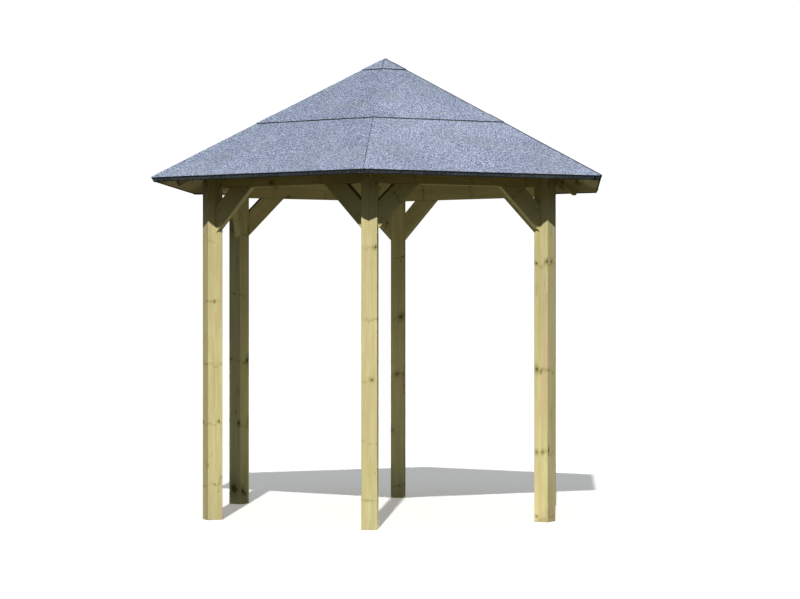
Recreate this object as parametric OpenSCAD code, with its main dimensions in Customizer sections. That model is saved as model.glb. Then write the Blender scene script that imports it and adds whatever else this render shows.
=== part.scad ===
// Six-sided open garden gazebo: pressure-treated softwood frame, boarded
// pyramid roof, mineral roofing felt. Millimetres, +Z up. The origin is on
// the ground, under the peak of the roof, and the front post stands on -Y.

/* [Posts] */
// Side of a square post
post_size = 115; // [90:1:150]
// Height of a post, from the ground to its flat top
post_h = 2630; // [2000:10:3000]
// Centre of the gazebo to the centre of a post
post_circle_r = 1430; // [1100:10:1800]

/* [Ring beams] */
// Thickness of a beam, seen from above
beam_t = 50; // [35:1:80]
// Height of a beam
beam_h = 150; // [100:1:220]
// Drop from the top of a post to the top of a beam
beam_drop = 10; // [0:1:40]

/* [Braces] */
// Thickness of a brace, seen from above
brace_t = 50; // [35:1:80]
// Depth of a brace, square to its length
brace_w = 140; // [90:1:180]
// Leg of a brace's lower edge, along the beam and down the post
brace_reach = 316; // [280:2:450]

/* [Hip rafters] */
// Thickness of a rafter, seen from above
rafter_t = 50; // [35:1:60]
// Depth of a rafter, square to its length
rafter_w = 120; // [100:1:180]
// Height of the notch that sits over a post's outer face
rafter_heel = 40; // [15:1:45]
// Rafter's tail back from the corner of the boards, in plan
rafter_setback = 163; // [100:1:200]

/* [King post] */
// Distance between two opposite flats of the king post
king_af = 130; // [110:1:180]
// Drop of the king post below the rafters
king_drop = 70; // [20:1:200]

/* [Roof] */
// Slope of a roof side
roof_pitch = 30.2; // [22:0.1:38]
// Centre of a post to the corner of the boards' top edge, in plan
eave_overhang = 480; // [420:10:900]
// Thickness of the roof boards
board_t = 28; // [18:1:40]

/* [Roofing felt] */
// Thickness of the felt
felt_t = 3; // [2:0.5:6]
// Depth of the cap, from the peak down the slope
felt_cap_depth = 193; // [120:1:300]
// Depth of the felt turned down over the boards' edge
felt_turn_down = 40; // [30:1:60]
// Lap of one course over the course below it
felt_lap = 120; // [80:5:160]
// Length over which a lapped course settles back on the boards
felt_settle = 20; // [10:1:40]
// Gap between two pieces of felt that meet on a hip
felt_hip_gap = 3; // [1:0.5:6]

/* [Hidden] */
SIDES = 6;
STEP = 360 / SIDES;
HALF = STEP / 2;
POSTS = ["front", "front_right", "back_right", "back", "back_left", "front_left"];
BAYS = ["front_right", "right", "back_right", "back_left", "left", "front_left"];

TIMBER = [0.74, 0.69, 0.46];
RAFTER = [0.62, 0.56, 0.36];
BOARD = [0.66, 0.60, 0.40];
FELT = [0.52, 0.55, 0.66];

BIG = 6000; // larger than any piece, for cutting tools

// Heights of the frame
beam_top_z = post_h - beam_drop;
beam_bottom_z = beam_top_z - beam_h;

// The hips are less steep than the roof sides
hip_rise = tan(roof_pitch) * cos(HALF);
hip_pitch = atan(hip_rise);

// A rafter, on the upright plane through its hip
post_outer_r = post_circle_r + post_size / 2;
seat_inner_r = post_outer_r - rafter_heel / hip_rise;
function rafter_low_z(r) = post_h - rafter_heel + (post_outer_r - r) * hip_rise;
function rafter_top_z(r) = rafter_low_z(r) + rafter_w / cos(hip_pitch);

// Top edge of the boards: corner and middle of an eave, in plan, and height
eave_r = post_circle_r + eave_overhang;
eave_out = eave_r * cos(HALF);
eave_z = rafter_top_z(eave_r) + board_t / cos(roof_pitch);
slope_len = eave_out / cos(roof_pitch);

// Lower edge of each felt course, measured up the slope from the boards' edge.
// The two courses below the cap are cut to one width, from the same roll.
cap_s = slope_len - felt_cap_depth;
upper_course_s = (cap_s - felt_turn_down) / 2;

// Bays are seen along their outward normal, posts along their radius
function post_angle(i) = -90 + STEP * i;
function bay_angle(i) = post_angle(i) + HALF;

// Middle line of a beam, in the frame of its bay: X outward, Y along the eave
bay_out = post_circle_r * cos(HALF);
bay_half = post_circle_r * sin(HALF);
bay_face = bay_half - post_size / 2 / cos(HALF); // where that line meets a post

// Everything past the face of the post at one end of a bay, end = -1 or 1
module beyond_post_face(end) {
    translate([bay_out, end * bay_half, 0])
        rotate([0, 0, end * HALF])
            translate([-BIG / 2, end > 0 ? -post_size / 2 : post_size / 2 - BIG, -1])
                cube([BIG, BIG, BIG]);
}

// Puts a piece that runs between two posts in its bay, cut to the posts' faces
module in_bay(i, ends = [-1, 1]) {
    rotate([0, 0, bay_angle(i)])
        difference() {
            children();
            for (end = ends)
                beyond_post_face(end);
        }
}

// An outline of [distance up the slope, height off the boards] across a roof side
module slope_extrude(outline) {
    translate([eave_out, 0, eave_z])
        rotate([0, roof_pitch, 0])
            rotate([90, 0, 0])
                linear_extrude(height = BIG, center = true)
                    polygon([for (p = outline) [-p[0], p[1]]]);
}

// Upright wedge of one roof side, held back from both hips by the inset
module side_wedge(inset) {
    tip = inset / sin(HALF);
    linear_extrude(height = BIG)
        polygon([
            [tip, 0],
            [tip + BIG * cos(HALF), -BIG * sin(HALF)],
            [tip + BIG * cos(HALF), BIG * sin(HALF)]
        ]);
}

// Everything above the underside of the boards on one roof side
module above_boards_underside() {
    slope_extrude([
        [-BIG, -board_t],
        [BIG, -board_t],
        [BIG, BIG],
        [-BIG, BIG]
    ]);
}

module post(i) {
    color(TIMBER)
        rotate([0, 0, post_angle(i)])
            translate([post_circle_r, 0, post_h / 2])
                cube([post_size, post_size, post_h], center = true);
}

module beam(i) {
    color(TIMBER)
        in_bay(i)
            translate([bay_out - beam_t / 2, -bay_half, beam_bottom_z])
                cube([beam_t, 2 * bay_half, beam_h]);
}

// The brace at one end of a bay, end = -1 or 1, at 45 degrees under the beam
module brace(i, end) {
    band = brace_w * sqrt(2);
    into_post = post_size / 2;
    color(TIMBER)
        in_bay(i, [end])
            translate([bay_out, 0, beam_bottom_z])
                rotate([90, 0, 90])
                    linear_extrude(height = brace_t, center = true)
                        polygon([
                            [end * (bay_face + into_post), -brace_reach - into_post],
                            [end * (bay_face - brace_reach), 0],
                            [end * (bay_face - brace_reach + band), 0],
                            [end * (bay_face + into_post), -brace_reach + band - into_post]
                        ]);
}

// Notched over its post, cut square at the tail and upright at the king post,
// with the top bevelled to lie under both roof sides
module hip_rafter(i) {
    tail_r = eave_r - rafter_setback;
    inner_r = king_af / 2;
    color(RAFTER)
        rotate([0, 0, post_angle(i)])
            difference() {
                rotate([90, 0, 0])
                    linear_extrude(height = rafter_t, center = true)
                        polygon([
                            [inner_r, rafter_low_z(inner_r)],
                            [seat_inner_r, post_h],
                            [post_outer_r, post_h],
                            [post_outer_r, post_h - rafter_heel],
                            [
                                tail_r - rafter_w * sin(hip_pitch),
                                rafter_top_z(tail_r) - rafter_w * cos(hip_pitch)
                            ],
                            [tail_r, rafter_top_z(tail_r)],
                            [inner_r, rafter_top_z(inner_r)]
                        ]);
                for (turn = [-HALF, HALF])
                    rotate([0, 0, turn])
                        above_boards_underside();
            }
}

// Six-sided boss that the rafters butt against, shaped to the roof at its top
module king_post() {
    bottom_z = rafter_low_z(king_af / 2) - king_drop;
    above_peak_z = rafter_top_z(0) + board_t;
    color(RAFTER)
        difference() {
            translate([0, 0, bottom_z])
                rotate([0, 0, bay_angle(0)])
                    cylinder(d = king_af / cos(HALF), h = above_peak_z - bottom_z, $fn = SIDES);
            for (i = [0:SIDES - 1])
                rotate([0, 0, bay_angle(i)])
                    above_boards_underside();
        }
}

module roof_boards(i) {
    color(BOARD)
        rotate([0, 0, bay_angle(i)])
            intersection() {
                side_wedge(0);
                slope_extrude([
                    [0, -board_t],
                    [slope_len * 1.5, -board_t],
                    [slope_len * 1.5, 0],
                    [0, 0]
                ]);
            }
}

// One course of felt on all six sides, with the given outline up the slope
module felt_course(outline) {
    color(FELT)
        for (i = [0:SIDES - 1])
            rotate([0, 0, bay_angle(i)])
                intersection() {
                    side_wedge(felt_hip_gap / 2);
                    slope_extrude(outline);
                }
}

module felt_lower_course() {
    top_s = upper_course_s + felt_lap;
    felt_course([
        [-felt_t, felt_t - felt_turn_down],
        [-felt_t, felt_t],
        [top_s, felt_t],
        [top_s, 0],
        [0, 0],
        [0, felt_t - felt_turn_down]
    ]);
}

// Outline of a course that laps over the one below and ends at top_s
function lapped_outline(start_s, top_s) = [
    [start_s, felt_t],
    [start_s, 2 * felt_t],
    [start_s + felt_lap, 2 * felt_t],
    [start_s + felt_lap + felt_settle, felt_t],
    [top_s, felt_t],
    [top_s, 0],
    [start_s + felt_lap + felt_settle, 0],
    [start_s + felt_lap, felt_t]
];

module felt_upper_course() {
    felt_course(lapped_outline(upper_course_s, cap_s + felt_lap));
}

module felt_cap() {
    felt_course(lapped_outline(cap_s, slope_len * 1.5));
}

for (i = [0:SIDES - 1]) {
    before = (i + SIDES - 1) % SIDES;
    post(i);
    beam(i);
    brace(before, 1);
    brace(i, -1);
    hip_rafter(i);
    roof_boards(i);
}
king_post();
felt_lower_course();
felt_upper_course();
felt_cap();
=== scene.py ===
import math
import random

import bmesh
import bpy
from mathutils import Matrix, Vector, noise


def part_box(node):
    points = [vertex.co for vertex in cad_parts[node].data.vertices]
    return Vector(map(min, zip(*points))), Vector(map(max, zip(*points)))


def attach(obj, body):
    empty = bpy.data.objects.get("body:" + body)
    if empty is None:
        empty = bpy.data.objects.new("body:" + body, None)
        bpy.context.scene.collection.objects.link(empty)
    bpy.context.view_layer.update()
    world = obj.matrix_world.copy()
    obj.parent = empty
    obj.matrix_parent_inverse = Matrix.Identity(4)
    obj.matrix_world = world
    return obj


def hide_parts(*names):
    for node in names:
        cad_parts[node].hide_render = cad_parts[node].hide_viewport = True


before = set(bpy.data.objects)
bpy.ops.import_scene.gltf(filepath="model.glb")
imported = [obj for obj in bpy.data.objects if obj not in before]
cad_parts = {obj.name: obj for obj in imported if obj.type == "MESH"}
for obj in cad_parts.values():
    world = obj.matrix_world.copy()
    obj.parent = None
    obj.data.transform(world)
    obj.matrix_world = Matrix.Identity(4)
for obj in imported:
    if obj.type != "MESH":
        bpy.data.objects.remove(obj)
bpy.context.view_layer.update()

# All lengths are in metres. Sides, posts and bays are counted to the right, as seen from outside.
SIDES = 6
STEP = math.tau / SIDES
HALF = STEP / 2
POSTS = ("front", "front_right", "back_right", "back", "back_left", "front_left")
BAYS = ("front_right", "right", "back_right", "back_left", "left", "front_left")
UP = Vector((0, 0, 1))
MM = 0.001

ARRIS = 3 * MM  # rounding of a planed timber's edges
BOARD_ARRIS = 1 * MM
BOARD_COVER = 0.12  # width that one roof board covers
VEE = 4 * MM  # chamfer on the lower edges of a board
BOARD_GAP = 0.6 * MM  # shrinkage gap at each edge of a board
KNOT_RISE = 20 * MM  # how much higher a branch is at a post's face than at the pith

# How far from the pith of its log each kind of timber is cut
FROM_PITH = {
    "post": (0.01, 0.05),
    "beam": (0.05, 0.11),
    "brace": (0.05, 0.11),
    "rafter": (0.05, 0.10),
    "king_post": (0.0, 0.02),
    "board": (0.03, 0.11),
}

FOLD_R = 6 * MM  # outer radius of the felt where it turns down over the boards' edge
FOLD_STEPS = 6  # rows of points round that quarter turn
HIP_LAP = 5 * MM  # felt carried over a hip on to the side before
FOLD_SHADE_BAND = 7 * MM  # below the fold, a band drawn in bitumen as painted shade
TAB = 60 * MM  # end of a turned-down strip, folded round the corner
FELT_GRID = 25 * MM  # spacing of the felt's mesh
HIP_POINTS = 4  # points across a sheet, past its even ones, that take it over a hip
SETTLE = 20 * MM  # length over which a lapped course comes down on the boards
BEAD_H = 2.2 * MM  # height of the adhesive squeezed out of a lap
BEAD_STEP = 15 * MM
# the third finish is bare bitumen on a sheet's underside and cut edges, and painted shade along the fold
GRANULES, TURNED, BITUMEN_AND_FOLD_SHADE = range(3)  # finishes of the felt
ROLL_TONE = (0.015, -0.03, 0.01, -0.03, 0.01, -0.025)  # how much lighter the felt is on each side

NAIL_PITCH = 0.15  # clout nails along an edge
NAIL_LINE = 0.55  # how far down the turned-down strip they go, as a share of it
NAIL_R = 5 * MM
SCREW_R = 4.6 * MM
BRACE_SCREWS = ((40 * MM, 155 * MM), (100 * MM, 95 * MM))  # in from a brace's long edge, and along it
BEAM_SCREW_IN = 45 * MM  # in from the widest point of a beam
BEAM_SCREWS_UP = (0.25, 0.75)  # shares of a beam's height

WHORL = 0.46  # a year's growth: knots lie in whorls this far apart along the trunk
BRANCH_RISE = 0.35  # how steeply branches climb on their way out
BRANCH_SPREAD = (0.8, 0.8, 0.8)  # radius of the circle of branches, in cells: about four to a whorl
BRANCH_SCATTER = 0.1  # of a year's growth, up or down from the whorl
KNOT_LENGTHWISE = (0.8, 0.8, 0.8)  # lengthwise distances count for less, so a knot is longer than wide
RING = 4.2 * MM  # width of a growth ring in fast-grown pine
FIBRE = 1.1 * MM  # spacing of the raised fibres on a planed face

# Patterns in the timber, as cycles to a metre: along the trunk, then across it both ways
FIBRES = (12, 1 / FIBRE, 1 / FIBRE)
RING_DRIFT = (1.3, 8, 8)  # the rings wander, over 0.8 m of trunk
STREAKS = (1.6, 30, 30)  # streaks 0.6 m long and 33 mm wide
CLOUDS = (3.5, 12, 12)  # heartwood showing in patches 0.3 m long
TAN_PATCHES = (3, 14, 14)  # patches 0.3 m long and 70 mm wide
CHECKS = (4.5, 60, 60)  # cracks 0.2 m long, 17 mm apart
CHECKED = (4, 16, 16)  # the places that have them
KNOT_RIM = 190.0  # a knot's ragged rim, every 5 mm
LINE_WAVER = 22.0  # the line at a whorl goes up and down every 45 mm
LINE_BREAK = 14.0  # and is broken every 70 mm

# Colours that all the timber has
KNOT_HALO = "#8B8449"
WHORL_LINE = "#85763F"
CHECK_BROWN = "#5A4A2A"
KNOT_WOOD = "#685A34"
KNOT_BARK = "#454026"
SAWN_END = "#7D7346"
# painted shade: a near-black brown for faces that look up, the tops of the braces
UPWARD_PAINTED_SHADE = "#2A2616"

GRANULE = 1.8 * MM  # size of one mineral granule on the felt
# A granule is too fine to show from where the eye stands, so clusters of lighter and darker ones,
# drawn as coarse as they need to be, carry the pattern
FLECK = 10.5 * MM
FELT_TONES = 2.2  # broad lighter and darker areas of felt, cycles to a metre
WEATHERING = 3.5  # greyer, greener areas
BARE_SPOTS = 130.0  # bitumen showing where granules are off, every 8 mm
WEATHERED = "#868E90"
BARE_BITUMEN = "#17191A"
BITUMEN_DUST = 160.0  # dust on bare bitumen, every 6 mm
ZINC_CLOUDS = 420.0  # dull spots on zinc, every 2.4 mm

# Heights of each post's whorls of knots, and the size of its knots beside the usual
POST_WHORLS = {
    "front": ((0.22, 0.62, 1.06, 1.49, 2.0), 0.65),
    "front_right": ((0.045, 0.51, 1.11, 1.91, 2.4), 0.85),
    "back_right": ((0.30, 0.80, 1.27, 1.85, 2.3), 1.0),
    "back": ((0.1, 0.55, 1.02, 1.48, 2.0), 0.8),
    "back_left": ((0.10, 0.65, 1.16, 1.70, 2.2), 2.0),
    "front_left": ((0.26, 0.72, 1.16, 1.62, 2.08), 0.5),
}


def post_angle(i):
    return -math.pi / 2 + STEP * i


def bay_angle(i):
    return post_angle(i) + HALF


def outward(angle):
    return Vector((math.cos(angle), math.sin(angle), 0))


def rightward(angle):
    return Vector((-math.sin(angle), math.cos(angle), 0))


# ---------------------------------------------------------------- sizes read from the frame

def cad_points(node):
    return [v.co.copy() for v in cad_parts[node].data.vertices]


side_points = cad_points("right_roof_boards")
peak = max(side_points, key=lambda p: p.z)
eave = max(side_points, key=lambda p: p.x)
eave_out = eave.x
eave_z = eave.z
pitch = math.atan2(peak.z - eave_z, eave_out - peak.x)
SIN = math.sin(pitch)
COS = math.cos(pitch)
slope_len = eave_out / COS
board_t = (eave_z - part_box("right_roof_boards")[0].z) / COS
felt_t = (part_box("felt_lower_course")[1].x - eave_out) / (SIN + COS)


def height_to_slope(z):
    """How far up the slope the felt's lower face is at a height."""
    return (z - eave_z - felt_t * COS) / SIN


lip_low = (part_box("felt_lower_course")[0].z - eave_z + felt_t * SIN) / COS
upper_s = height_to_slope(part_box("felt_upper_course")[0].z)
cap_s = height_to_slope(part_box("felt_cap")[0].z)
felt_lap = height_to_slope(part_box("felt_lower_course")[1].z) - upper_s
hip_slope = Vector((1, 0, -math.tan(pitch) * math.cos(HALF))).normalized()


def half_width(up, off):
    """Half the width of a roof side, up the slope from the eave and off the boards."""
    return (eave_out - up * COS + off * SIN) * math.tan(HALF)


def roof_point(side, along, up, off):
    """A point on a roof side: to the right of its middle, up the slope and off the boards. Past the
    left-hand hip it is on the side before."""
    half = half_width(up, off)
    if along < -half:
        side = side - 1
        along = along + 2 * half
    angle = bay_angle(side)
    out = eave_out - up * COS + off * SIN
    return outward(angle) * out + rightward(angle) * along + UP * (eave_z + up * SIN + off * COS)


def roof_normal(side):
    return outward(bay_angle(side)) * SIN + UP * COS


def downhill(side):
    return outward(bay_angle(side)) * COS - UP * SIN


# ---------------------------------------------------------------- materials

def linear(hex_colour):
    """An sRGB hex colour as linear light, with alpha."""
    parts = [int(hex_colour[i:i + 2], 16) / 255 for i in (1, 3, 5)]
    return (*[c / 12.92 if c <= 0.04045 else ((c + 0.055) / 1.055) ** 2.4 for c in parts], 1.0)


def add(tree, kind, inputs=(), stops=(), **settings):
    """Adds a node. inputs gives each socket a value, a socket to link from, or a node for its first
    output. Map Range reads from 1 to 2 and gives 3 to 4. Mix goes from colour 6 to colour 7 by 0."""
    node = tree.nodes.new("ShaderNode" + kind)
    for name, value in settings.items():
        setattr(node, name, value)
    for socket, value in dict(inputs).items():
        if isinstance(value, bpy.types.Node):
            value = value.outputs[0]
        if isinstance(value, bpy.types.NodeSocket):
            tree.links.new(value, node.inputs[socket])
        else:
            node.inputs[socket].default_value = value
    for i, (place, colour) in enumerate(stops):
        element = node.color_ramp.elements[i] if i < 2 else node.color_ramp.elements.new(place)
        element.position = place
        element.color = linear(colour)
    return node


def new_material(name):
    material = bpy.data.materials.new(name)
    material.use_nodes = True
    tree = material.node_tree
    return material, tree, tree.nodes["Principled BSDF"]


def knots(tree, grain, level, across, radius):
    """Knots where branches left the pith, about four to a whorl, rising outward and getting thicker on
    the way. Gives the distance along the trunk from the branch, then the knot, its bark and its halo."""
    ray = add(tree, "VectorMath", {0: across}, operation="NORMALIZE")
    year = add(tree, "Math", {0: level, 1: WHORL}, operation="DIVIDE")
    year = add(tree, "Math", {0: year}, operation="FLOOR")
    whorl = add(tree, "Math", {0: year, 1: 0.5}, operation="ADD")
    seat = add(tree, "CombineXYZ", {0: whorl})
    seat = add(tree, "VectorMath", {0: ray, 1: BRANCH_SPREAD, 2: seat}, operation="MULTIPLY_ADD")
    branch = add(tree, "TexVoronoi", {"Vector": seat, "Scale": 1.0, "Randomness": 0.7})
    branch_ray = add(tree, "VectorMath", {0: branch.outputs["Position"], 1: (0, 1, 1)},
                     operation="MULTIPLY")
    branch_at = add(tree, "SeparateXYZ", {0: branch.outputs["Position"]}).outputs["X"]

    # How far a point is from its branch: along the trunk, and square to the branch
    scatter = add(tree, "Math", {0: branch_at, 1: whorl}, operation="SUBTRACT")
    whorl_level = add(tree, "Math", {0: scatter, 1: BRANCH_SCATTER, 2: whorl}, operation="MULTIPLY_ADD")
    whorl_level = add(tree, "Math", {0: whorl_level, 1: WHORL}, operation="MULTIPLY")
    lengthwise = add(tree, "Math", {0: level, 1: whorl_level}, operation="SUBTRACT")
    sideways = add(tree, "VectorMath", {0: across, 1: branch_ray}, operation="PROJECT")
    sideways = add(tree, "VectorMath", {0: across, 1: sideways}, operation="SUBTRACT")
    away = add(tree, "CombineXYZ", {0: lengthwise})
    away = add(tree, "VectorMath", {0: away, 1: KNOT_LENGTHWISE, 2: sideways}, operation="MULTIPLY_ADD")
    away = add(tree, "VectorMath", {0: away}, operation="LENGTH").outputs["Value"]

    # The branch's own radius: 2.5 mm at the pith, and 7 mm more in every 100 mm outward
    chance = add(tree, "SeparateColor", {0: branch.outputs["Color"]})
    girth = add(tree, "MapRange", {0: chance, 1: 0.4, 2: 1.0, 3: 0.1, 4: 1.1})
    knot_size = add(tree, "Attribute", attribute_name="knot_size").outputs["Fac"]
    knot_r = add(tree, "Math", {0: radius, 1: 0.07, 2: 2.5 * MM}, operation="MULTIPLY_ADD")
    knot_r = add(tree, "Math", {0: knot_r, 1: girth}, operation="MULTIPLY")
    knot_r = add(tree, "Math", {0: knot_r, 1: knot_size}, operation="MULTIPLY")
    ragged = add(tree, "TexNoise", {"Vector": grain, "Scale": KNOT_RIM, "Detail": 3.0})
    ragged = add(tree, "MapRange", {0: ragged, 1: 0.3, 2: 0.7, 3: 0.6, 4: 1.45})
    from_knot = add(tree, "Math", {0: away, 1: knot_r}, operation="DIVIDE")
    from_knot = add(tree, "Math", {0: from_knot, 1: ragged}, operation="MULTIPLY")
    knot = add(tree, "MapRange", {0: from_knot, 1: 1.1, 2: 0.8, 3: 0.0, 4: 1.0})
    bark = add(tree, "Math", {0: from_knot, 1: 1.0, 2: 0.22}, operation="COMPARE")
    halo = add(tree, "MapRange", {0: from_knot, 1: 6.5, 2: 1.0, 3: 0.0, 4: 1.0},
               interpolation_type="SMOOTHSTEP")
    return lengthwise, knot, bark, halo


def whorl_line(tree, grain, lengthwise):
    """The faint line round the trunk at a whorl of knots, broken where the growth was even."""
    waver = add(tree, "TexNoise", {"Vector": grain, "Scale": LINE_WAVER, "Detail": 2.0})
    line = add(tree, "MapRange", {0: waver, 1: 0.2, 2: 0.8, 3: -12 * MM, 4: 12 * MM})
    line = add(tree, "Math", {0: line, 1: lengthwise}, operation="ADD")
    line = add(tree, "Math", {0: line}, operation="ABSOLUTE")
    line = add(tree, "MapRange", {0: line, 1: 18 * MM, 2: 0.0, 3: 0.0, 4: 1.0},
               interpolation_type="SMOOTHSTEP")
    patchy = add(tree, "TexNoise", {"Vector": grain, "Scale": LINE_BREAK, "Detail": 2.0})
    patchy = add(tree, "MapRange", {0: patchy, 1: 0.35, 2: 0.65, 3: 0.0, 4: 0.5})
    return add(tree, "Math", {0: line, 1: patchy}, operation="MULTIPLY")


def growth_rings(tree, grain, radius, halo):
    """Growth rings, pushed outward round a knot: pale earlywood, then a darker band of latewood."""
    wander = add(tree, "VectorMath", {0: grain, 1: RING_DRIFT}, operation="MULTIPLY")
    wander = add(tree, "TexNoise", {"Vector": wander, "Scale": 1.0, "Detail": 3.0})
    wander = add(tree, "Math", {0: wander, 1: 14 * MM, 2: radius}, operation="MULTIPLY_ADD")
    ring = add(tree, "Math", {0: halo, 1: 7 * MM, 2: wander}, operation="MULTIPLY_ADD")
    ring = add(tree, "Math", {0: ring, 1: RING}, operation="DIVIDE")
    ring = add(tree, "Math", {0: ring}, operation="FRACT")
    return add(tree, "ValToRGB", {0: ring},
               stops=((0.0, "#202020"), (1.0, "#202020"), (0.45, "#000000"), (0.9, "#D0D0D0")))


def heartwood(tree, grain, level):
    """How much of the heart's colour shows: in clouds, and as a tone of each year's own growth."""
    growth = add(tree, "Math", {0: level, 1: 1 / WHORL, 2: 0.5}, operation="MULTIPLY_ADD")
    growth = add(tree, "Math", {0: growth}, operation="FLOOR")
    growth = add(tree, "TexWhiteNoise", {"W": growth}, noise_dimensions="1D")
    growth = add(tree, "MapRange", {0: growth, 1: 0.0, 2: 1.0, 3: 0.0, 4: 0.6})
    cloud = add(tree, "VectorMath", {0: grain, 1: CLOUDS}, operation="MULTIPLY")
    cloud = add(tree, "TexNoise", {"Vector": cloud, "Scale": 1.0, "Detail": 2.0})
    cloud = add(tree, "MapRange", {0: cloud, 1: 0.35, 2: 0.7, 3: 0.0, 4: 0.7})
    return add(tree, "Math", {0: growth, 1: cloud}, operation="MAXIMUM")


def drying_checks(tree, grain):
    """Thin cracks along the grain, where the timber has dried, a few to a post."""
    crack = add(tree, "VectorMath", {0: grain, 1: CHECKS}, operation="MULTIPLY")
    crack = add(tree, "TexNoise", {"Vector": crack, "Scale": 1.0, "Detail": 1.0})
    crack = add(tree, "Math", {0: crack, 1: 0.5}, operation="SUBTRACT")
    crack = add(tree, "Math", {0: crack}, operation="ABSOLUTE")
    crack = add(tree, "MapRange", {0: crack, 1: 0.02, 2: 0.005, 3: 0.0, 4: 1.0})
    dry = add(tree, "VectorMath", {0: grain, 1: CHECKED}, operation="MULTIPLY")
    dry = add(tree, "TexNoise", {"Vector": dry, "Scale": 1.0, "Detail": 0.0})
    dry = add(tree, "MapRange", {0: dry, 1: 0.69, 2: 0.74, 3: 0.0, 4: 0.9})
    return add(tree, "Math", {0: crack, 1: dry}, operation="MULTIPLY")


def timber(name, early, late, green, heart, tan, end_grain=0.0):
    """Pressure-treated pine, sawn through the log and planed: straw with a green cast, a dull sheen
    along the fibres, knots in whorls and a few drying checks. The grain attribute is in metres, along
    the trunk and then across it from the pith, so rings and knots carry on from face to face."""
    material, tree, surface = new_material(name)
    grain = add(tree, "Attribute", attribute_name="grain").outputs["Vector"]
    along = add(tree, "SeparateXYZ", {0: grain}).outputs["X"]
    across = add(tree, "VectorMath", {0: grain, 1: (0, 1, 1)}, operation="MULTIPLY")
    radius = add(tree, "VectorMath", {0: across}, operation="LENGTH").outputs["Value"]
    rise = add(tree, "Math", {0: radius, 1: BRANCH_RISE}, operation="MULTIPLY")
    level = add(tree, "Math", {0: along, 1: rise}, operation="SUBTRACT")

    lengthwise, knot, bark, halo = knots(tree, grain, level, across, radius)
    line = whorl_line(tree, grain, lengthwise)
    latewood = growth_rings(tree, grain, radius, halo)
    heart_share = heartwood(tree, grain, level)
    crack = drying_checks(tree, grain)
    fibre = add(tree, "VectorMath", {0: grain, 1: FIBRES}, operation="MULTIPLY")
    fibre = add(tree, "TexNoise", {"Vector": fibre, "Scale": 1.0, "Detail": 3.0})

    # Wood colours: rings, streaks where the treatment went in more or less, heart and tan patches
    colour = add(tree, "Mix", {0: latewood, 6: linear(early), 7: linear(late)}, data_type="RGBA")
    streak = add(tree, "VectorMath", {0: grain, 1: STREAKS}, operation="MULTIPLY")
    streak = add(tree, "TexNoise", {"Vector": streak, "Scale": 1.0, "Detail": 4.0, "Roughness": 0.6})
    uptake = add(tree, "MapRange", {0: streak, 1: 0.35, 2: 0.7, 3: 0.0, 4: 0.75})
    colour = add(tree, "Mix", {0: uptake, 6: colour.outputs[2], 7: linear(green)}, data_type="RGBA")
    colour = add(tree, "Mix", {0: heart_share, 6: colour.outputs[2], 7: linear(heart)}, data_type="RGBA")
    dried = add(tree, "VectorMath", {0: grain, 1: TAN_PATCHES}, operation="MULTIPLY")
    dried = add(tree, "TexNoise", {"Vector": dried, "Scale": 1.0, "Detail": 3.0})
    dried = add(tree, "MapRange", {0: dried, 1: 0.48, 2: 0.68, 3: 0.0, 4: 0.62})
    colour = add(tree, "Mix", {0: dried, 6: colour.outputs[2], 7: linear(tan)}, data_type="RGBA")
    fibre_tone = add(tree, "MapRange", {0: fibre, 1: 0.3, 2: 0.7, 3: 0.9, 4: 1.06})
    fibre_tone = add(tree, "CombineColor", {0: fibre_tone, 1: fibre_tone, 2: fibre_tone})
    colour = add(tree, "Mix", {0: 1.0, 6: colour.outputs[2], 7: fibre_tone}, data_type="RGBA",
                 blend_type="MULTIPLY")

    # Over them, what marks the timber, and painted shade on the faces that look up
    halo_share = add(tree, "Math", {0: halo, 1: 0.7}, operation="MULTIPLY")
    facing = add(tree, "SeparateXYZ", {0: add(tree, "NewGeometry").outputs["Normal"]}).outputs["Z"]
    # painted shade: faces that look up are darkened, which shows on the tops of the braces
    painted_shade_on_tops = add(tree, "MapRange", {0: facing, 1: 0.4, 2: 0.65, 3: 0.0, 4: 0.85})
    for share, mark in ((halo_share, KNOT_HALO), (line, WHORL_LINE), (crack, CHECK_BROWN),
                        (knot, KNOT_WOOD), (bark, KNOT_BARK), (end_grain, SAWN_END),
                        (painted_shade_on_tops, UPWARD_PAINTED_SHADE)):
        colour = add(tree, "Mix", {0: share, 6: colour.outputs[2], 7: linear(mark)}, data_type="RGBA")

    relief = add(tree, "Math", {0: latewood, 1: 0.5, 2: fibre}, operation="MULTIPLY_ADD")
    relief = add(tree, "Math", {0: knot, 1: 0.8, 2: relief}, operation="MULTIPLY_ADD")
    relief = add(tree, "Math", {0: line, 1: -0.3, 2: relief}, operation="MULTIPLY_ADD")
    relief = add(tree, "Math", {0: crack, 1: -2.0, 2: relief}, operation="MULTIPLY_ADD")
    bump = add(tree, "Bump", {"Height": relief, "Strength": 0.5, "Distance": 0.4 * MM})
    dull = add(tree, "MapRange", {0: fibre, 1: 0.3, 2: 0.7, 3: 0.62, 4: 0.82})
    tree.links.new(colour.outputs[2], surface.inputs["Base Color"])
    tree.links.new(dull.outputs[0], surface.inputs["Roughness"])
    tree.links.new(bump.outputs[0], surface.inputs["Normal"])
    surface.inputs["IOR"].default_value = 1.45
    surface.inputs["Specular IOR Level"].default_value = 0.35
    return material


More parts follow.
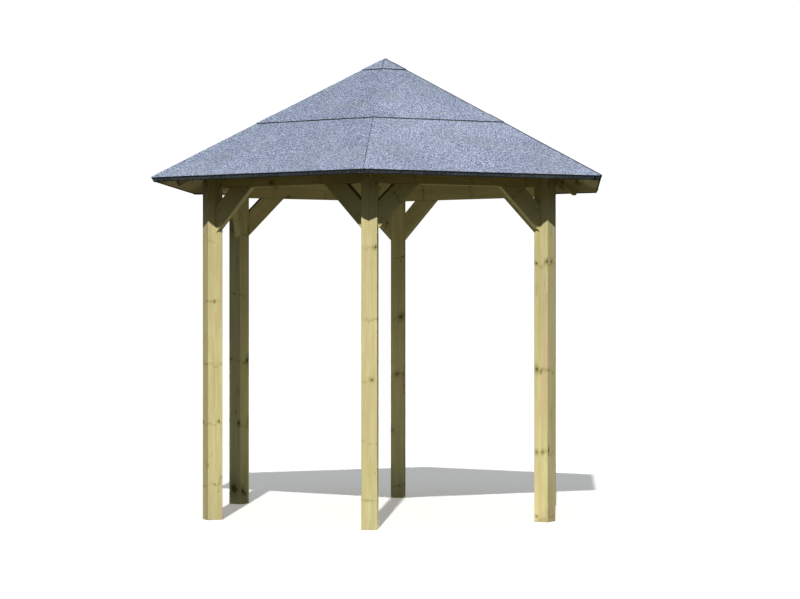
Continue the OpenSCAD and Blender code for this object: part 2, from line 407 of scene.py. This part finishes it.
def mineral_felt(name, dark, mid, light, bitumen_share):
    """Bitumen felt faced with crushed slate granules: matt, gritty, a grey-blue made of many tones.
    Where it is bent over an edge the granules come off and the bitumen shows."""
    material, tree, surface = new_material(name)
    place = add(tree, "TexCoord").outputs["Object"]
    granule = add(tree, "TexVoronoi", {"Vector": place, "Scale": 1 / GRANULE})
    grit = add(tree, "SeparateColor", {0: granule.outputs["Color"]})
    fleck = add(tree, "TexNoise", {"Vector": place, "Scale": 1 / FLECK, "Detail": 3.0, "Roughness": 0.7})
    fleck = add(tree, "MapRange", {0: fleck, 1: 0.3, 2: 0.7, 3: -0.4, 4: 1.4}, clamp=False)
    patch = add(tree, "TexNoise", {"Vector": place, "Scale": FELT_TONES, "Detail": 2.0})
    patch = add(tree, "MapRange", {0: patch, 1: 0.3, 2: 0.7, 3: -0.05, 4: 0.05})
    roll = add(tree, "Attribute", attribute_name="roll_tone").outputs["Fac"]
    tone = add(tree, "Math", {0: grit, 1: 0.35, 2: patch}, operation="MULTIPLY_ADD")
    tone = add(tree, "Math", {0: fleck, 1: 0.65, 2: tone}, operation="MULTIPLY_ADD")
    tone = add(tree, "Math", {0: tone, 1: roll}, operation="ADD")
    colour = add(tree, "ValToRGB", {0: tone}, stops=((0.0, dark), (1.0, light), (0.5, mid)))
    weather = add(tree, "TexNoise", {"Vector": place, "Scale": WEATHERING, "Detail": 2.0})
    weather = add(tree, "MapRange", {0: weather, 1: 0.5, 2: 0.7, 3: 0.0, 4: 0.3})
    colour = add(tree, "Mix", {0: weather, 6: colour.outputs[0], 7: linear(WEATHERED)}, data_type="RGBA")
    bare = add(tree, "TexNoise", {"Vector": place, "Scale": BARE_SPOTS, "Detail": 4.0, "Roughness": 0.7})
    bare = add(tree, "MapRange", {0: bare, 1: 0.62 - 0.3 * bitumen_share, 2: 0.7 - 0.3 * bitumen_share,
                                  3: bitumen_share, 4: 0.0})
    colour = add(tree, "Mix", {0: bare, 6: colour.outputs[2], 7: linear(BARE_BITUMEN)}, data_type="RGBA")
    relief = add(tree, "Math", {0: granule.outputs["Distance"], 1: -1.0, 2: grit},
                 operation="MULTIPLY_ADD")
    bump = add(tree, "Bump", {"Height": relief, "Strength": 0.6, "Distance": 0.7 * MM})
    tree.links.new(colour.outputs[2], surface.inputs["Base Color"])
    tree.links.new(bump.outputs[0], surface.inputs["Normal"])
    surface.inputs["Roughness"].default_value = 0.9
    surface.inputs["Specular IOR Level"].default_value = 0.3
    return material


def plain_bitumen():
    """Bitumen at a cut edge, under a sheet or squeezed out of a lap: near black, dusty and uneven."""
    material, tree, surface = new_material("bitumen")
    place = add(tree, "TexCoord").outputs["Object"]
    dust = add(tree, "TexNoise", {"Vector": place, "Scale": BITUMEN_DUST, "Detail": 4.0})
    colour = add(tree, "ValToRGB", {0: dust}, stops=((0.35, "#101214"), (0.75, "#2C2F33")))
    bump = add(tree, "Bump", {"Height": dust, "Strength": 0.5, "Distance": 0.5 * MM})
    dull = add(tree, "MapRange", {0: dust, 1: 0.3, 2: 0.7, 3: 0.5, 4: 0.8})
    tree.links.new(colour.outputs[0], surface.inputs["Base Color"])
    tree.links.new(dull.outputs[0], surface.inputs["Roughness"])
    tree.links.new(bump.outputs[0], surface.inputs["Normal"])
    return material


def plated_steel(name, bright, tarnished, roughness):
    """Zinc-plated steel fixings: metallic, soft-edged reflections, cloudy where the zinc has dulled."""
    material, tree, surface = new_material(name)
    place = add(tree, "TexCoord").outputs["Object"]
    cloud = add(tree, "TexNoise", {"Vector": place, "Scale": ZINC_CLOUDS, "Detail": 3.0})
    colour = add(tree, "ValToRGB", {0: cloud}, stops=((0.35, tarnished), (0.65, bright)))
    dull = add(tree, "MapRange", {0: cloud, 1: 0.3, 2: 0.7, 3: roughness + 0.15, 4: roughness})
    tree.links.new(colour.outputs[0], surface.inputs["Base Color"])
    tree.links.new(dull.outputs[0], surface.inputs["Roughness"])
    surface.inputs["Metallic"].default_value = 1.0
    return material


FRAME_PINE = timber("planed_treated_pine", "#E0D6A2", "#BFAF70", "#A8A66E", "#C4B67E", "#CBB389")
FRAME_ENDS = timber("sawn_end_grain", "#D6C88E", "#A8925A", "#A8A66E", "#C4B67E", "#CBB389",
                    end_grain=0.45)
BOARD_PINE = timber("planed_treated_boards", "#D3C793", "#B3A066", "#A6A26C", "#BCAB74", "#C4AC82")
FELT = mineral_felt("slate_mineral_felt", "#333A4D", "#7F88A2", "#D6DCF0", bitumen_share=0.0)
TURNED_FELT = mineral_felt("turned_down_felt", "#24292E", "#3E444A", "#7C8288", bitumen_share=0.8)
BITUMEN = plain_bitumen()
NAIL_ZINC = plated_steel("galvanised_clout_nail", "#8D9296", "#5F6468", 0.5)
SCREW_ZINC = plated_steel("yellow_passivated_screw", "#C6A65A", "#8A7440", 0.35)


# ---------------------------------------------------------------- mesh helpers

def finish_piece(name, bm, materials, replaced=()):
    """Makes the piece from the mesh, and ties it to the frame."""
    mesh = bpy.data.meshes.new(name)
    bm.to_mesh(mesh)
    bm.free()
    for material in materials:
        mesh.materials.append(material)
    piece = bpy.data.objects.new(name, mesh)
    bpy.context.scene.collection.objects.link(piece)
    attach(piece, "root")
    if replaced:
        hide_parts(*replaced)


class Log:
    """Where a piece of timber lay in its log: gives each point of it the grain coordinates."""

    def __init__(self, middle, along, across, rng, kind, whorls=(), knot_size=0.8):
        self.middle = middle
        self.along = along
        self.across = across
        self.through = along.cross(across)
        turn = rng.uniform(0, math.tau)
        self.pith = Vector((math.cos(turn), math.sin(turn))) * rng.uniform(*FROM_PITH[kind])
        self.lean = Vector((rng.uniform(-1, 1), rng.uniform(-1, 1))) * 0.008  # 8 mm in a metre
        self.start = rng.randint(3, 400) * WHORL
        self.knot_size = knot_size
        self.whorls = whorls or (rng.uniform(0, WHORL),)

    def year(self, x):
        """Length along the trunk, with each year's growth drawn out or shortened to WHORL."""
        marks = self.whorls
        if x < marks[0]:
            return 0.5 * WHORL + x - marks[0]
        for k, (low, high) in enumerate(zip(marks, marks[1:])):
            if x < high:
                return (k + 0.5 + (x - low) / (high - low)) * WHORL
        return (len(marks) - 0.5) * WHORL + x - marks[-1]

    def grain(self, point):
        """A point's place along the trunk and across it, both ways from the pith."""
        p = point - self.middle
        x = p.dot(self.along)
        y = p.dot(self.across) - self.pith.x + x * self.lean.x
        z = p.dot(self.through) - self.pith.y + x * self.lean.y
        return Vector((self.year(x) + self.start, y, z))


def write_grain(bm, verts, log):
    """Gives points of the mesh their place in the log."""
    grain = bm.verts.layers.float_vector.get("grain")
    size = bm.verts.layers.float.get("knot_size")
    for v in verts:
        v[grain] = log.grain(v.co)
        v[size] = log.knot_size


def grain_mesh():
    """An empty mesh that can hold grain coordinates."""
    bm = bmesh.new()
    bm.verts.layers.float_vector.new("grain")
    bm.verts.layers.float.new("knot_size")
    return bm


def cad_timber(node, along, across, rng, kind, whorls=(), knot_size=0.8):
    """A piece of the frame at its CAD shape, with planed, rounded edges and its own grain. It is cut
    across at each whorl, so that the grain coordinates can stretch from one to the next."""
    bm = grain_mesh()
    bm.from_mesh(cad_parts[node].data)
    bmesh.ops.remove_doubles(bm, verts=bm.verts, dist=0.01 * MM)
    bmesh.ops.dissolve_limit(bm, angle_limit=math.radians(1), verts=bm.verts, edges=bm.edges)
    sharp = [e for e in bm.edges if e.is_manifold and e.calc_face_angle(0) > math.radians(35)]
    bmesh.ops.bevel(bm, geom=sharp, offset=ARRIS, segments=3, profile=0.5, affect="EDGES",
                    clamp_overlap=True)
    half_metre_of_arris = 0.5 * ARRIS
    for face in bm.faces:
        across_grain = abs(face.normal.dot(along)) > 0.9
        face.material_index = int(across_grain)
        face.smooth = face.calc_area() < half_metre_of_arris
    low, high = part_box(node)
    middle = (low + high) / 2
    for mark in whorls:
        bmesh.ops.bisect_plane(bm, geom=bm.verts[:] + bm.edges[:] + bm.faces[:], dist=0.01 * MM,
                               plane_co=middle + along * mark, plane_no=along)
    write_grain(bm, bm.verts, Log(middle, along, across, rng, kind, whorls, knot_size))
    finish_piece(node + "_timber", bm, (FRAME_PINE, FRAME_ENDS), (node,))


# ---------------------------------------------------------------- timber frame

def posts():
    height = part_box("front_post")[1].z
    for i, name in enumerate(POSTS):
        rng = random.Random(f"post {name}")
        heights, knot_size = POST_WHORLS[name]
        whorls = [h - height / 2 - KNOT_RISE for h in heights]
        cad_timber(name + "_post", UP, outward(post_angle(i)), rng, "post", whorls, knot_size)


def beams():
    for i, name in enumerate(BAYS):
        rng = random.Random(f"beam {name}")
        cad_timber(name + "_beam", rightward(bay_angle(i)), outward(bay_angle(i)), rng, "beam")


def braces():
    for i, name in enumerate(POSTS):
        for hand, bay, lean in (("left", i - 1, 1), ("right", i, -1)):
            rng = random.Random(f"brace {name} {hand}")
            along = (rightward(bay_angle(bay)) * lean - UP).normalized()
            cad_timber(f"{name}_post_{hand}_brace", along, outward(bay_angle(bay)), rng, "brace")


def rafters():
    for i, name in enumerate(POSTS):
        rng = random.Random(f"rafter {name}")
        angle = post_angle(i)
        along = (outward(angle) * hip_slope.x + UP * hip_slope.z).normalized()
        cad_timber(name + "_hip_rafter", along, rightward(angle), rng, "rafter")
    cad_timber("king_post", UP, outward(0), random.Random("king"), "king_post")


def board_outline(low, high, first, last):
    """A board's section, as distances up the slope and off the boards' top. The first board has the
    eave's square edge, and the last one has no gap above it."""
    bottom = -board_t
    start = low if first else low + BOARD_GAP
    end = high if last else high - BOARD_GAP
    if first:
        outline = [(start, bottom + BOARD_ARRIS), (start + BOARD_ARRIS, bottom)]
    else:
        outline = [(start, bottom + VEE), (start + VEE, bottom)]
    outline += [(end - VEE, bottom), (end, bottom + VEE), (end, 0), (start, 0)]
    return outline


def roof_boards():
    """Tongued and grooved boards, laid along the eaves from the bottom up, with a V at each joint."""
    top = slope_len - 2 * board_t  # short of the peak, where the six sides meet
    count = round(top / BOARD_COVER)
    cover = top / count
    for side, name in enumerate(BAYS):
        bm = grain_mesh()
        angle = bay_angle(side)
        for k in range(count):
            rng = random.Random(f"board {name} {k}")
            outline = board_outline(k * cover, (k + 1) * cover, k == 0, k == count - 1)
            ends = []
            for hand in (-1, 1):
                ends.append([
                    bm.verts.new(roof_point(side, hand * (half_width(up, off) - BOARD_GAP), up, off))
                    for up, off in outline
                ])
            bm.faces.new(ends[0])
            bm.faces.new(reversed(ends[1]))
            for j in range(len(outline)):
                n = (j + 1) % len(outline)
                bm.faces.new((ends[0][n], ends[0][j], ends[1][j], ends[1][n]))
            uphill = -downhill(side)
            middle = roof_point(side, rng.uniform(-0.3, 0.3), (k + 0.5) * cover, -board_t / 2)
            write_grain(bm, ends[0] + ends[1], Log(middle, rightward(angle), uphill, rng, "board"))
        bmesh.ops.recalc_face_normals(bm, faces=bm.faces)
        finish_piece(name + "_boards", bm, (BOARD_PINE,), (name + "_roof_boards",))


# ---------------------------------------------------------------- roofing felt

def felt_rows(start, end, lapped):
    """A course from its lower edge up. Each row has a place on the sheet's lower face, as distances up
    the slope and off the boards, the way that the sheet faces there, and its finish."""
    rows = []
    if lapped:
        steps = round(felt_lap / FELT_GRID)
        spots = [start, start + 5 * MM] + [start + felt_lap * (j + 1) / steps for j in range(steps)]
        rows += [(spot, felt_t, 0, 1, GRANULES) for spot in spots]
        begin = start + felt_lap + SETTLE
    else:
        fold = felt_t - FOLD_R
        drop = fold - FOLD_SHADE_BAND - lip_low
        rows += [(0, lip_low + drop * j / 3, -1, 0, TURNED) for j in range(4)]
        # painted shade: the band up to the fold is drawn in bitumen
        rows.append((0, fold, -1, 0, BITUMEN_AND_FOLD_SHADE))
        inner_r = FOLD_R - felt_t
        for j in range(1, FOLD_STEPS + 1):
            turn = math.radians(90 * j / FOLD_STEPS)
            # painted shade: the first half of the fold's turn is drawn in bitumen too
            finish = BITUMEN_AND_FOLD_SHADE if j <= FOLD_STEPS / 2 else GRANULES
            rows.append((inner_r - inner_r * math.cos(turn), inner_r * math.sin(turn) - inner_r,
                         -math.cos(turn), math.sin(turn), finish))
        begin = 2 * inner_r
    steps = round((end - begin) / FELT_GRID)
    rows += [(begin + (end - begin) * j / steps, 0, 0, 1, GRANULES) for j in range(steps + 1)]
    return rows


def ripple(point, size, depth):
    """Unevenness of a laid sheet, always upward."""
    return depth * (0.5 + 0.5 * noise.noise(point / size))


def felt_columns(half, lap, columns):
    """Places across a sheet from its right-hand end, each with how far it has climbed on to the sheet
    of the side before."""
    edge = min(10 * MM, half * 0.3)
    spots = [(half - (2 * half - edge) * j / columns, 0.0) for j in range(columns + 1)]
    return spots + [(-half + edge * 0.3, 0.5), (-half - edge * 0.1, 1.0), (-half - lap * 0.5, 1.0),
                    (-half - lap, 1.0)]


def felt_point(side, row, column, columns, rise, lap_start):
    """A point of a sheet, on its outer face where rise is 1 and on its inner face where it is 0. A
    course that laps over the one below it starts at lap_start up the slope; for the other it is None."""
    up, off, face_up, face_off, finish = row
    lap = TAB if finish == TURNED else HIP_LAP
    guess = half_width(up + face_up * felt_t, off + face_off * felt_t)
    climbed = felt_columns(guess, lap, columns)[column][1]
    height = (rise + climbed) * felt_t
    half = half_width(up + face_up * height, off + face_off * height)
    along = felt_columns(half, min(lap, half), columns)[column][0]
    flat = roof_point(side, along, up, off)
    if finish == GRANULES:
        # slow waves in the sheet, with small dimples
        height += ripple(flat, 0.16, 1.2 * MM) + ripple(flat + UP, 0.03, 0.25 * MM)
    else:
        height += ripple(flat, 0.05, 0.7 * MM)
    if lap_start is not None:
        # a lap's free edge lifts here and there
        height += ripple(flat, 0.09, 2.0 * MM) * math.exp((lap_start - up) / (15 * MM))
    # the lower edge of the turned-down strip was trimmed by hand
    trim = ripple(flat, 0.15, 3 * MM) if finish == TURNED and off == lip_low else 0
    return roof_point(side, along, up + face_up * height, off + face_off * height + trim)


def felt_course(node, start, end, lapped, lighter):
    """Six sheets from start to end up the slope, each folded over its left-hand hip. The turned-down
    strip of the lowest course has a tab round the corner."""
    bm = bmesh.new()
    tone = bm.verts.layers.float.new("roll_tone")
    rows = felt_rows(start, end, lapped)
    columns = round(2 * half_width(start, felt_t) / FELT_GRID)
    lap_start = start if lapped else None
    for side in range(SIDES):
        faces = []
        for row in rows:
            outer = []
            inner = []
            for column in range(columns + 1 + HIP_POINTS):
                for rise, layer in ((1, outer), (0, inner)):
                    layer.append(bm.verts.new(felt_point(side, row, column, columns, rise, lap_start)))
            for v in outer:
                v[tone] = ROLL_TONE[side] + lighter
            faces.append((outer, inner, row[-1]))
        close_sheet(bm, faces)
    finish_piece(node + "_sheets", bm, (FELT, TURNED_FELT, BITUMEN), (node,))


def close_sheet(bm, rows):
    """Joins the rows of a sheet: its two faces, and the cut edge all round."""
    for (outer, inner, _), (outer_up, inner_up, finish) in zip(rows, rows[1:]):
        for j in range(len(outer) - 1):
            top = bm.faces.new((outer[j + 1], outer[j], outer_up[j], outer_up[j + 1]))
            top.material_index = finish
            top.smooth = True
            bottom = bm.faces.new((inner[j], inner[j + 1], inner_up[j + 1], inner_up[j]))
            bottom.material_index = BITUMEN_AND_FOLD_SHADE
            bottom.smooth = True
        for j in (0, -1):
            bm.faces.new((outer[j], inner[j], inner_up[j], outer_up[j])).material_index = BITUMEN_AND_FOLD_SHADE
    for outer, inner, _ in (rows[0], rows[-1]):
        for j in range(len(outer) - 1):
            edge = bm.faces.new((outer[j], outer[j + 1], inner[j + 1], inner[j]))
            edge.material_index = BITUMEN_AND_FOLD_SHADE


def ribbon(bm, spine, normals, sides, widths, height):
    """A low bead of adhesive along a line on the roof."""
    shape = ((-1, -0.2), (-0.6, 0.8), (0, 1), (0.6, 0.8), (1, -0.2))  # shares of its width and height
    rings = []
    for point, normal, side, width in zip(spine, normals, sides, widths):
        rings.append([bm.verts.new(point + side * (a * width) + normal * (b * height)) for a, b in shape])
    for first, second in zip(rings, rings[1:]):
        for j in range(len(shape) - 1):
            bm.faces.new((first[j], first[j + 1], second[j + 1], second[j])).smooth = True
    for ring in (rings[0], rings[-1]):
        bm.faces.new(ring)


def lap_adhesive():
    """Bitumen adhesive squeezed out below each lap and along the hips, of uneven width."""
    bm = bmesh.new()
    for side in range(SIDES):
        for start in (upper_s, cap_s):
            half = half_width(start, felt_t)
            count = max(4, round(2 * half / BEAD_STEP))
            spots = [-half + 2 * half * j / count for j in range(count + 1)]
            spine = [roof_point(side, a, start - 4 * MM, felt_t) for a in spots]
            widths = [6 * MM + ripple(p, 0.02, 4 * MM) for p in spine]
            ribbon(bm, spine, [roof_normal(side)] * len(spine), [downhill(side)] * len(spine), widths,
                   BEAD_H)
        for low, high, off in ((0.0, upper_s - 8 * MM, felt_t),
                               (cap_s, slope_len - 12 * MM, 2 * felt_t)):
            count = max(4, round((high - low) / BEAD_STEP))
            spots = [low + (high - low) * j / count for j in range(count + 1)]
            spine = [roof_point(side, -half_width(up, off) - HIP_LAP - 1 * MM, up, off)
                     for up in spots]
            widths = [3.2 * MM + ripple(p, 0.03, 3.5 * MM) for p in spine]
            ribbon(bm, spine, [roof_normal(side - 1)] * len(spine),
                   [rightward(bay_angle(side - 1))] * len(spine), widths, BEAD_H)
    bmesh.ops.recalc_face_normals(bm, faces=bm.faces)
    finish_piece("lap_adhesive", bm, (BITUMEN,))


def turned_part(bm, point, normal, profile, segments):
    """A small round head, turned from (radius, height) points about the normal."""
    across = normal.orthogonal().normalized()
    other = normal.cross(across)
    rings = []
    for radius, height in profile:
        rings.append([
            bm.verts.new(point + normal * height + (across * math.cos(t) + other * math.sin(t)) * radius)
            for t in (math.tau * j / segments for j in range(segments))
        ])
    for first, second in zip(rings, rings[1:]):
        for j in range(segments):
            n = (j + 1) % segments
            bm.faces.new((first[j], first[n], second[n], second[j])).smooth = True
    bm.faces.new(rings[-1])


NAIL_HEAD = ((NAIL_R, -0.5 * MM), (NAIL_R, 0.5 * MM), (NAIL_R * 0.9, 0.9 * MM), (NAIL_R * 0.4, 1.1 * MM))
SCREW_HEAD = (
    (SCREW_R, -1 * MM), (SCREW_R, 0.2 * MM), (SCREW_R * 0.9, 0.5 * MM),
    (SCREW_R * 0.45, 0.5 * MM), (SCREW_R * 0.36, -1.6 * MM),
)


def clout_nails():
    """Flat-headed nails along the turned-down edges."""
    bm = bmesh.new()
    rng = random.Random("clout nails")
    for side in range(SIDES):
        off = lip_low * NAIL_LINE
        half = half_width(-felt_t, off)
        count = round((2 * half - 2 * TAB) / NAIL_PITCH)
        for j in range(count + 1):
            along = -half + TAB + (2 * half - 2 * TAB) * j / count + rng.uniform(-5, 5) * MM
            spot = roof_point(side, along, -felt_t - 0.5 * MM, off + rng.uniform(-2, 2) * MM)
            turned_part(bm, spot, downhill(side), NAIL_HEAD, 14)
    bmesh.ops.recalc_face_normals(bm, faces=bm.faces)
    finish_piece("clout_nails", bm, (NAIL_ZINC,))


def frame_screws():
    """Countersunk screws: two at each end of a brace and of a beam."""
    bm = bmesh.new()
    beam_low, beam_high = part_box("right_beam")
    for i, name in enumerate(POSTS):
        for hand, bay, lean in (("left", i - 1, 1), ("right", i, -1)):
            angle = bay_angle(bay)
            low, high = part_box(f"{name}_post_{hand}_brace")
            middle = (low + high) / 2
            run = (rightward(angle) * lean - UP).normalized()
            inward = (rightward(angle) * lean + UP).normalized()
            middle = middle + outward(angle) * (beam_high.x - middle.dot(outward(angle)))
            for end in (-1, 1):
                for depth, reach in BRACE_SCREWS:
                    spot = middle + run * (end * reach) + inward * depth
                    turned_part(bm, spot, outward(angle), SCREW_HEAD, 12)
    for bay in range(SIDES):
        angle = bay_angle(bay)
        for end in (-1, 1):
            for share in BEAM_SCREWS_UP:
                spot = outward(angle) * beam_high.x
                spot = spot + rightward(angle) * (end * (beam_high.y - BEAM_SCREW_IN))
                spot = spot + UP * (beam_low.z + (beam_high.z - beam_low.z) * share)
                turned_part(bm, spot, outward(angle), SCREW_HEAD, 12)
    bmesh.ops.recalc_face_normals(bm, faces=bm.faces)
    finish_piece("frame_screws", bm, (SCREW_ZINC,))


# ---------------------------------------------------------------- studio

FLOOR_R = 120
SURROUND_R = 119
SUN_HEIGHT = 37.6  # degrees above the horizon
SUN_STRENGTH = 3.8
PAVING_R = 1.0  # disc of light on the ground under the roof
PAVING_GLOW = 1.7  # its radiance


def studio():
    """A pale floor that takes a soft grey shadow, a white surround seen by the camera alone, a low
    sun from the front, a dim sky over dark ground, and the light that the paving throws up."""
    material, _, surface = new_material("pale_floor")
    surface.inputs["Base Color"].default_value = (0.88, 0.88, 0.88, 1)
    surface.inputs["Roughness"].default_value = 1.0
    surface.inputs["Specular IOR Level"].default_value = 0.0
    # a little light of its own takes the blue out of the shadow
    surface.inputs["Emission Color"].default_value = (1, 0.88, 0.76, 1)
    surface.inputs["Emission Strength"].default_value = 0.2
    bpy.ops.mesh.primitive_circle_add(vertices=96, radius=FLOOR_R, fill_type="NGON", location=(0, 0, 0))
    floor = bpy.context.object
    floor.name = "floor"
    floor.data.materials.append(material)
    floor.visible_diffuse = False
    floor.visible_glossy = False
    floor.visible_shadow = False

    material, _, surface = new_material("white_surround")
    surface.inputs["Base Color"].default_value = (0, 0, 0, 1)
    surface.inputs["Specular IOR Level"].default_value = 0.0
    surface.inputs["Emission Color"].default_value = (1, 1, 1, 1)
    surface.inputs["Emission Strength"].default_value = 1.05
    bpy.ops.mesh.primitive_uv_sphere_add(segments=48, ring_count=24, radius=SURROUND_R, location=(0, 0, 0))
    surround = bpy.context.object
    surround.name = "surround"
    surround.data.materials.append(material)
    surround.visible_diffuse = False
    surround.visible_glossy = False
    surround.visible_transmission = False
    surround.visible_shadow = False

    world = bpy.data.worlds.new("even_sky")
    bpy.context.scene.world = world
    world.use_nodes = True
    sky = world.node_tree
    # dark from below, then from the horizon to the top of the sky
    height = add(sky, "TexCoord").outputs["Generated"]
    height = add(sky, "SeparateXYZ", {0: height}).outputs["Z"]
    height = add(sky, "MapRange", {0: height, 1: -1.0, 2: 1.0, 3: 0.0, 4: 1.0})
    shades = add(sky, "ValToRGB", {0: height},
                 stops=((0.0, "#2B2B27"), (1.0, "#9FA9B4"), (0.47, "#32312C"), (0.53, "#757D77")))
    sky.links.new(shades.outputs[0], sky.nodes["Background"].inputs[0])
    sky.nodes["Background"].inputs[1].default_value = 1.0

    paving = bpy.data.lights.new("light_off_the_paving", "AREA")
    paving.shape = "DISK"
    paving.size = 2 * PAVING_R
    paving.energy = PAVING_GLOW * math.pi * math.pi * PAVING_R ** 2
    paving.color = (0.935, 0.965, 0.80)
    bounce = bpy.data.objects.new("light_off_the_paving", paving)
    bounce.location = (0.2, -0.5, 4 * MM)
    bounce.rotation_euler = (math.pi, 0, 0)
    bounce.visible_camera = False
    bpy.context.scene.collection.objects.link(bounce)

    sun = bpy.data.lights.new("sun", "SUN")
    sun.energy = SUN_STRENGTH
    sun.angle = math.radians(0.8)
    sun.color = (1.0, 0.985, 0.95)
    lamp = bpy.data.objects.new("sun", sun)
    lamp.rotation_euler = (math.radians(90 - SUN_HEIGHT), 0, 0)
    bpy.context.scene.collection.objects.link(lamp)
    bpy.context.scene.view_settings.view_transform = "Standard"


def camera():
    """A standing eye, 18 m off and a little to the right of the front post, with a long lens."""
    distance = 18.086
    bearing = math.radians(4.364)
    eye = bpy.data.cameras.new("camera")
    eye.lens = 105.13
    eye.sensor_width = 36
    eye.shift_y = 0.013
    eye.clip_end = 400
    holder = bpy.data.objects.new("camera", eye)
    holder.location = (distance * math.sin(bearing), -distance * math.cos(bearing), 1.565)
    holder.rotation_euler = (math.radians(90), 0, math.radians(4.0))
    bpy.context.scene.collection.objects.link(holder)
    bpy.context.scene.camera = holder


camera()
studio()
posts()
beams()
braces()
rafters()
roof_boards()
felt_course("felt_lower_course", 0.0, upper_s + felt_lap, lapped=False, lighter=0.0)
felt_course("felt_upper_course", upper_s, cap_s + felt_lap, lapped=True, lighter=-0.025)
felt_course("felt_cap", cap_s, slope_len - 0.5 * MM, lapped=True, lighter=0.02)
lap_adhesive()
clout_nails()
frame_screws()
